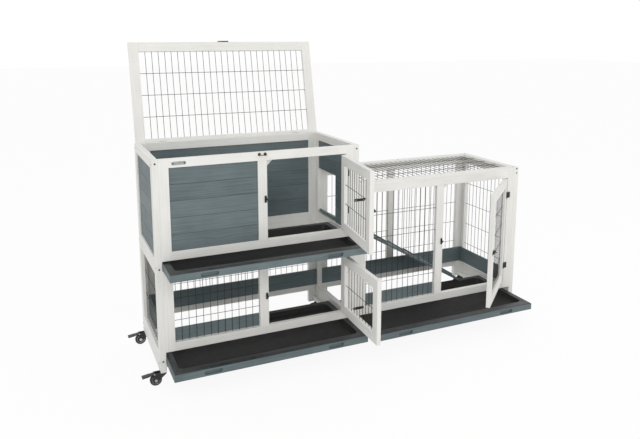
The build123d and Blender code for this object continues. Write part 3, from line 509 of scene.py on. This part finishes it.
for name, tray in trays.items():
    low, high, level = tray["low"], tray["high"], tray["level"]
    front = -tray["pull"]
    back = front + trayForm["depth"]
    top = level + trayForm["height"]
    mesh = newMesh()
    addBoard(mesh, (low, front, level), (high, front + trayForm["board"], top), 0, 1.2)
    board = finishPiece(f"{name}_tray_front", mesh, world, "slate_wood", f"{name}_tray",
                        [f"{name}_tray_frame"])
    tools = [cutGrip(board, x, front, level + trayForm["height"] / 2)
             for x in (low + trayForm["gripInset"], high - trayForm["gripInset"])]
    applyModifiers(board)
    for tool in tools:
        bpy.data.objects.remove(tool)
    # the sides and the back are slate boards too, butted behind the front one
    mesh = newMesh()
    thick = trayForm["board"]
    inner = front + thick
    for xLow, xHigh, yLow, yHigh in ((low, low + thick, inner, back), (high - thick, high, inner, back),
                                     (low + thick, high - thick, back - thick, back)):
        addBoard(mesh, (xLow, yLow, level), (xHigh, yHigh, top), 0 if xHigh - xLow > 20 else 1)
    finishPiece(f"{name}_tray_sides", mesh, world, "slate_wood", f"{name}_tray")

    # the liner is one sheet: a basin drawn down from a flange, with rounded corners and a soft lip
    rim, sheet = trayForm["rim"], trayForm["sheet"]
    xLow, xHigh = low + rim, high - rim
    yLow, yHigh = front + trayForm["frontRim"], back - rim
    floor = level + trayForm["floor"]
    mesh = bmesh.new()
    centre = Vector(((xLow + xHigh) / 2, (yLow + yHigh) / 2, (floor + top) / 2))
    addBlock(mesh, centre, (xHigh - xLow, yHigh - yLow, top - floor))
    cover = [face for face in mesh.faces if face.calc_center_median().z > top - 0.1]
    bmesh.ops.delete(mesh, geom=cover, context="FACES_ONLY")
    for vert in mesh.verts:
        if vert.co.z < floor + 1:
            for axis in (0, 1):
                vert.co[axis] -= math.copysign(trayForm["taper"], vert.co[axis] - centre[axis])
    uprights = [edge for edge in mesh.edges if abs(edge.verts[0].co.z - edge.verts[1].co.z) > 5]
    roundEdges(mesh, uprights, trayForm["radius"], 6)
    bottom = [edge for edge in mesh.edges if all(vert.co.z < floor + 1 for vert in edge.verts)]
    roundEdges(mesh, bottom, trayForm["foot"], 3)
    opening = [edge for edge in mesh.edges if edge.is_boundary]
    margin = trayForm["margin"]
    rimVerts = [mesh.verts.new(spot) for spot in (
        (low + margin, front + margin, top), (high - margin, front + margin, top),
        (high - margin, back - margin, top), (low + margin, back - margin, top))]
    rimEdges = [mesh.edges.new((rimVerts[i], rimVerts[(i + 1) % 4])) for i in range(4)]
    bmesh.ops.triangle_fill(mesh, use_beauty=True, use_dissolve=False, edges=opening + rimEdges)
    bmesh.ops.recalc_face_normals(mesh, faces=mesh.faces)
    up = [face for face in mesh.faces if abs(face.normal.z) > 0.9]
    if sum(face.normal.z * face.calc_area() for face in up) < 0:
        bmesh.ops.reverse_faces(mesh, faces=mesh.faces)
    for face in mesh.faces:  # the flange keeps the sheet's own colour and sheen; the basin is matt, and its darker colour is painted shade
        face.material_index = 0 if min(vert.co.z for vert in face.verts) > top - 0.1 else 1
    liner = finishPiece(f"{name}_tray_liner_sheet", mesh, world, "black_plastic", f"{name}_tray",
                        [f"{name}_tray_liner"])
    # the basin's darker second material is painted shade
    liner.data.materials.append(basinShadeMaterial)
    wall = liner.modifiers.new("sheet", "SOLIDIFY")
    wall.thickness, wall.offset = sheet * millimetre, 1
    lip = liner.modifiers.new("lip", "BEVEL")
    lip.width, lip.segments, lip.limit_method, lip.angle_limit = 0.0008, 2, "ANGLE", math.radians(40)
    liner.data.shade_smooth()
print("trays made")


# Ramp

ramp = {"slope": 30, "width": 188, "thick": 12, "lap": 22, "pitch": 118, "cleat": 8, "middle": 311.5,
        "sill": 550.3, "end": 124.5}
slope = math.radians(ramp["slope"])
rampPlane = placed((hutch["width"], ramp["middle"], ramp["sill"]),
                   Vector((math.cos(slope), 0, -math.sin(slope))), inward)
rampRun = (ramp["sill"] - ramp["end"]) / math.sin(slope)
half = ramp["width"] / 2
mesh = newMesh()
addBoard(mesh, (-ramp["lap"], -half, 0), (rampRun, half, ramp["thick"]), 0, 1.5)
for index in range(int(rampRun / ramp["pitch"])):
    middle = ramp["pitch"] * (index + 0.7)
    cleat = ramp["cleat"]
    addBoard(mesh, (middle - cleat / 2, cleat - half, ramp["thick"] - 0.2),
             (middle + cleat / 2, half - cleat, ramp["thick"] + cleat), 1, 1)
addBoard(mesh, (0.6, -half, -18), (14, half, 0.3), 1, 1)
finishPiece("ramp_plank", mesh, rampPlane, "slate_wood", "ramp", ["ramp"])
print("ramp made")


# Carried-over steel pieces take their slot's finish.

slotOf = {row["node"]: row["material_slot"] for row in frame["record"]["subparts"]}
for node, piece in cadNodes.items():
    piece.data.materials.clear()
    piece.data.materials.append(materials[slotOf[node]])
    grain = piece.data.uv_layers.get("grain") or piece.data.uv_layers.new(name="grain")
    for loop in piece.data.loops:
        spot = piece.data.vertices[loop.vertex_index].co
        grain.data[loop.index].uv = (spot.x + spot.z * 0.3, spot.y * 0.3 + 0.45)


# Casters: a moulded wheel with a bright rim, and domed caps on the axle and on the pedal pin

caster = {"radius": 24.99, "half": 8, "trail": 31, "level": 25, "armOut": 12.2, "capRadius": 7.2,
          "capRise": 2.4, "rivet": 3.1, "pedal": (-37, 53.5), "rim": 16.6}
casterSpots = {f"{end}_{side}": (x, y) for side, x in (("left", 12.5), ("middle", 907.5), ("right", 1827.5))
               for end, y in (("front", 20.5), ("back", 429.5))}


def spinProfile(mesh, points, axis, centre, steps=36):
    # points are (distance from the axis, place along it)
    axis = Vector(axis)
    outward = Vector((0, 0, 1)) if abs(axis.z) < 0.5 else Vector((1, 0, 0))
    rim = [mesh.verts.new(Vector(centre) + outward * r + axis * t) for r, t in points]
    edges = [mesh.edges.new(pair) for pair in zip(rim, rim[1:])]
    bmesh.ops.spin(mesh, geom=rim + edges, cent=centre, axis=axis, angle=2 * math.pi, steps=steps,
                   use_merge=True)


def closeForm(mesh):
    bmesh.ops.remove_doubles(mesh, verts=mesh.verts, dist=0.001)
    bmesh.ops.recalc_face_normals(mesh, faces=mesh.faces)


for name, (x, y) in casterSpots.items():
    hub = (x - caster["trail"], y, caster["level"])
    half, radius = caster["half"], caster["radius"]
    # from the bore over the hub and the dished web to the tread
    side = [(3.1, half - 1.6), (7.4, half - 1.6), (8.2, half - 0.8), (9.2, half - 2.6),
            (caster["rim"] - 1, half - 3), (caster["rim"], half - 1.2), (radius - 4.6, half),
            (radius - 2, half - 0.7), (radius - 0.6, half - 2.2), (radius, half - 4.4)]
    outline = side + [(r, -t) for r, t in reversed(side)]
    mesh = newMesh()
    spinProfile(mesh, outline + outline[:1], (0, 1, 0), hub)
    closeForm(mesh)
    finishPiece(f"{name}_wheel_tyre", mesh, world, "rubber", f"{name}_wheel",
                [f"{name}_caster_wheel"], True)
    mesh = newMesh()
    for way in (1, -1):
        ring = [(caster["rim"] - 1.2, way * (half - 2.9)), (caster["rim"] - 0.9, way * (half - 1.4)),
                (caster["rim"] + 0.5, way * (half - 0.9)), (caster["rim"] + 0.3, way * (half - 2.2))]
        spinProfile(mesh, ring + ring[:1], (0, 1, 0), hub)
    closeForm(mesh)
    finishPiece(f"{name}_wheel_rims", mesh, world, "zinc_steel", f"{name}_wheel", smooth=True)
    mesh = newMesh()
    for way in (1, -1):
        face = way * caster["armOut"]
        cap, rise = caster["capRadius"], caster["capRise"] * way
        dome = [(0, face + rise), (cap * 0.5, face + rise * 0.86), (cap * 0.82, face + rise * 0.55),
                (cap, face), (cap, face - 0.2 * way), (0, face - 0.2 * way)]
        spinProfile(mesh, dome, (0, 1, 0), hub, 24)
        if name.endswith("left"):
            rivet = (x + caster["pedal"][0], y, caster["pedal"][1])
            small = [(r * caster["rivet"] / cap, face + (t - face) * 0.5) for r, t in dome]
            spinProfile(mesh, small, (0, 1, 0), rivet, 16)
    closeForm(mesh)
    finishPiece(f"{name}_axle_caps", mesh, world, "zinc_steel", f"{name}_fork", smooth=True)
print("casters made")


# Screws

def addScrew(mesh, spot, radius=3.4, facing=1):
    # a countersunk head, dished where the driver goes
    made = bmesh.ops.create_cone(mesh, cap_ends=True, segments=14, radius1=radius, radius2=radius * 0.86,
                                 depth=0.9, matrix=Matrix.Translation(spot)
                                 @ (nothing if facing > 0 else Matrix.Rotation(math.pi, 4, "X")))
    caps = [face for face in {face for vert in made["verts"] for face in vert.link_faces}
            if len(face.verts) > 4 and (face.calc_center_median().z - spot[2]) * facing > 0]
    bmesh.ops.inset_region(mesh, faces=caps, thickness=radius * 0.4, depth=0)
    bmesh.ops.translate(mesh, vec=(0, 0, -0.35 * facing), verts=list({v for f in caps for v in f.verts}))


def addScrews(name, body, slotName, groups):
    mesh = newMesh()
    for plane, depth, facing, radius, spots in groups:
        start = len(mesh.verts)
        for u, v in spots:
            addScrew(mesh, (u, v, depth + 0.1 * facing), radius, facing)
        mesh.verts.ensure_lookup_table()
        bmesh.ops.transform(mesh, matrix=plane, verts=mesh.verts[start:])
    finishPiece(name, mesh, nothing, slotName, body)


frontScrews = [(12.5, z) for z in (948, 510, 108)] + [(907.5, z) for z in (948, 108)]
frontScrews += [(1827.5, z) for z in (779, 757, 108)]
plateScrews = [(x, z) for x in (906, 944) for z in (185, 709)]
leftScrews = [(y, z) for y in (12, 438) for z in (100, 516, 945)]
addScrews("panel_screws", "enclosure", "black_steel", [
    (frontPlane, 0, 1, 4.2, frontScrews), (leftPlane, 0, -1, 3.4, leftScrews),
    (roofPlane, 14, 1, 3.4, [(940, 20), (1820, 20), (940, 430), (1820, 430), (1380, 20), (1380, 430)]),
    (endPlane, 25, 1, 3.4, [(12, 100), (438, 100), (12, 752), (438, 752)]),
    (backPlane, 0, -1, 3.4, [(40, 140), (880, 140), (40, 516), (880, 516), (40, 945), (880, 945)])])
addScrews("plate_screws", "enclosure", "zinc_steel", [(frontPlane, 2, 1, 3, plateScrews)])
plate = {"left": 77, "width": 60, "height": 14, "level": 945, "thick": 0.8, "radius": 6.8}
mesh = newMesh()
addBlock(mesh, (plate["left"] + plate["width"] / 2, plate["level"], plate["thick"] / 2),
         (plate["width"], plate["height"], plate["thick"]))
upright = [edge for edge in mesh.edges if abs((edge.verts[0].co - edge.verts[1].co).z) > 0.1]
roundEdges(mesh, upright, plate["radius"], 6)
finishPiece("blank_plate", mesh, frontPlane, "zinc_steel", "enclosure")
plateEnds = [(plate["left"] + step, plate["level"]) for step in (7, plate["width"] - 7)]
addScrews("blank_plate_screws", "enclosure", "black_steel",
          [(frontPlane, plate["thick"], 1, 3.2, plateEnds)])
for name, door in doors.items():
    edge = door["edge"]
    hinges = (door["low"] + 85, door["high"] - 85)
    leaf = [(11, level + step) for level in hinges for step in (-10, 0, 10)]
    latch = [(edge - 5 - x, door["latch"] + z) for x in (11, 25) for z in (-7.5, 7.5)]
    corners = [(v, 12.5) for v in (door["low"] + 20, door["high"] - 20)]
    addScrews(f"{name}_door_screws", f"{name}_door", "zinc_steel", [
        (door["plane"], 1.8, -1, 2, leaf + latch), (door["edgePlane"], edge - 0.6, 1, 3.6, corners)])
print("screws made")


# Studio: a pale floor, a soft key from the front left and an even sky

studio = {"sky": 0.78, "key": 56, "fill": 26, "floorHex": "F4F4F2", "floorGlow": 0.92}
scene = bpy.context.scene
scene.view_settings.view_transform = "Standard"
scene.world = scene.world or bpy.data.worlds.new("studio")
scene.world.use_nodes = True
sky = scene.world.node_tree
sky.nodes.clear()
rays = addNode(sky, "ShaderNodeLightPath").outputs
seen = addNode(sky, "ShaderNodeMath", links={0: rays["Is Camera Ray"], 1: rays["Is Glossy Ray"]},
               operation="MAXIMUM")
seen = addNode(sky, "ShaderNodeMath", links={0: seen.outputs["Value"], 1: rays["Is Transmission Ray"]},
               operation="MAXIMUM")
level = addNode(sky, "ShaderNodeMapRange", {"To Min": studio["sky"], "To Max": 1},
                {"Value": seen.outputs["Value"]})
light = addNode(sky, "ShaderNodeBackground", {"Color": (1, 1, 1, 1)}, {"Strength": level.outputs["Result"]})
addNode(sky, "ShaderNodeOutputWorld", links={"Surface": light.outputs["Background"]})

floorMesh = bmesh.new()
bmesh.ops.create_grid(floorMesh, x_segments=1, y_segments=1, size=30)
floorData = bpy.data.meshes.new("floor")
floorMesh.to_mesh(floorData)
floorMesh.free()
floor = bpy.data.objects.new("floor", floorData)
scene.collection.objects.link(floor)
floorMaterial, tree, shader = newMaterial("pale_studio_floor", Base_Color=linear(studio["floorHex"]),
                                          Roughness=0.9)
rays = addNode(tree, "ShaderNodeLightPath").outputs
seen = addNode(tree, "ShaderNodeMath", links={0: rays["Is Camera Ray"], 1: rays["Is Glossy Ray"]},
               operation="MAXIMUM")
seen = addNode(tree, "ShaderNodeMath", {1: studio["floorGlow"]}, {0: seen.outputs["Value"]},
               operation="MULTIPLY")
glow = addNode(tree, "ShaderNodeEmission", {"Color": (1, 1, 1, 1), "Strength": 1.0})
blend = addNode(tree, "ShaderNodeMixShader", links={0: seen.outputs["Value"], 1: shader.outputs["BSDF"],
                                                    2: glow.outputs["Emission"]})
tree.links.new(blend.outputs["Shader"], tree.nodes["Material Output"].inputs["Surface"])
floorData.materials.append(floorMaterial)


def addLamp(name, spot, target, size, energy):
    lamp = bpy.data.lights.new(name, "AREA")
    lamp.shape, lamp.size, lamp.energy = "DISK", size, energy
    holder = bpy.data.objects.new(name, lamp)
    holder.location = spot
    holder.rotation_euler = (Vector(target) - Vector(spot)).to_track_quat("-Z", "Y").to_euler()
    scene.collection.objects.link(holder)


addLamp("key", (-2.2, -3.4, 3.6), (0, 0, 0.6), 2.6, studio["key"])
addLamp("fill", (3.4, -2.6, 2.4), (0, 0, 0.5), 3.0, studio["fill"])

camera = bpy.data.cameras.new("camera")
camera.lens = 648.1 * 36 / 640
camera.shift_y = -0.1086
cameraHolder = bpy.data.objects.new("camera", camera)
cameraHolder.location = corner + Vector((-0.410, -2.558, 1.446))
cameraHolder.rotation_euler = (math.pi / 2 - math.radians(9.96), 0, -math.radians(23.96))
scene.collection.objects.link(cameraHolder)
scene.camera = cameraHolder
print("studio made")
